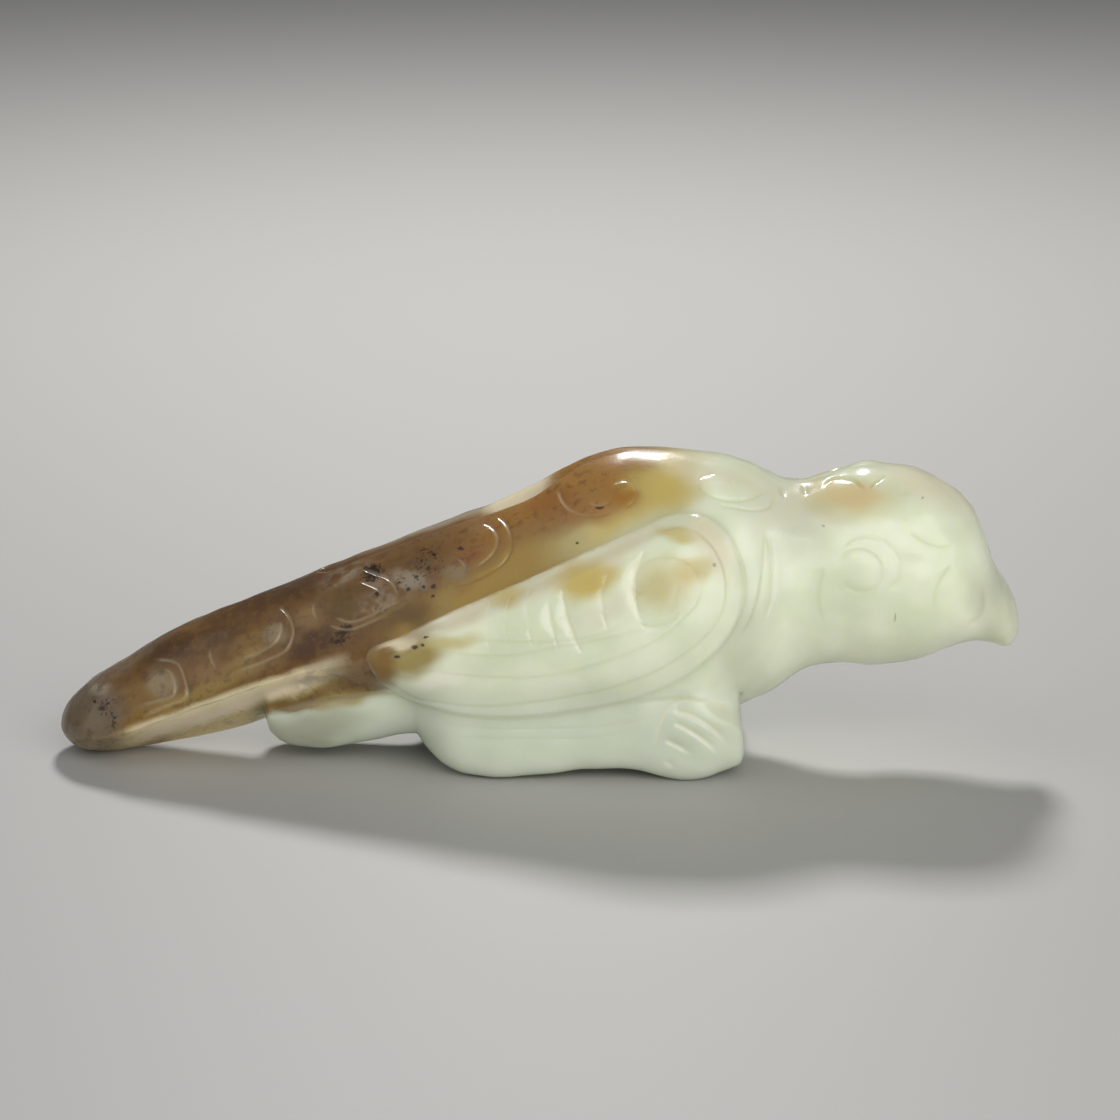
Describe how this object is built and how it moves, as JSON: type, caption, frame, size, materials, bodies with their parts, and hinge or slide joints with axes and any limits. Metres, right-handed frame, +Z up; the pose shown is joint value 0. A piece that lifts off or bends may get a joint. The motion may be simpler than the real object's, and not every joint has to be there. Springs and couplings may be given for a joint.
{
  "type": "jade bird carving",
  "caption": "Small carved stone bird lying on folded legs, head forward with a hooked beak, wings folded over the flanks and a long tail laid back to the ground.",
  "frame": {"origin": "on the ground, under the middle of the carving's box", "axes": "+X from tail to beak, +Z up, +Y to the bird's left; the near flank in the picture faces -Y"},
  "size_m": [0.065, 0.0182, 0.0211],
  "materials": {
    "jade": "polished translucent pale green stone with russet skin on the tail and back"
  },
  "bodies": {
    "root": {"jade_bird": "jade"}
  },
  "joints": []
}
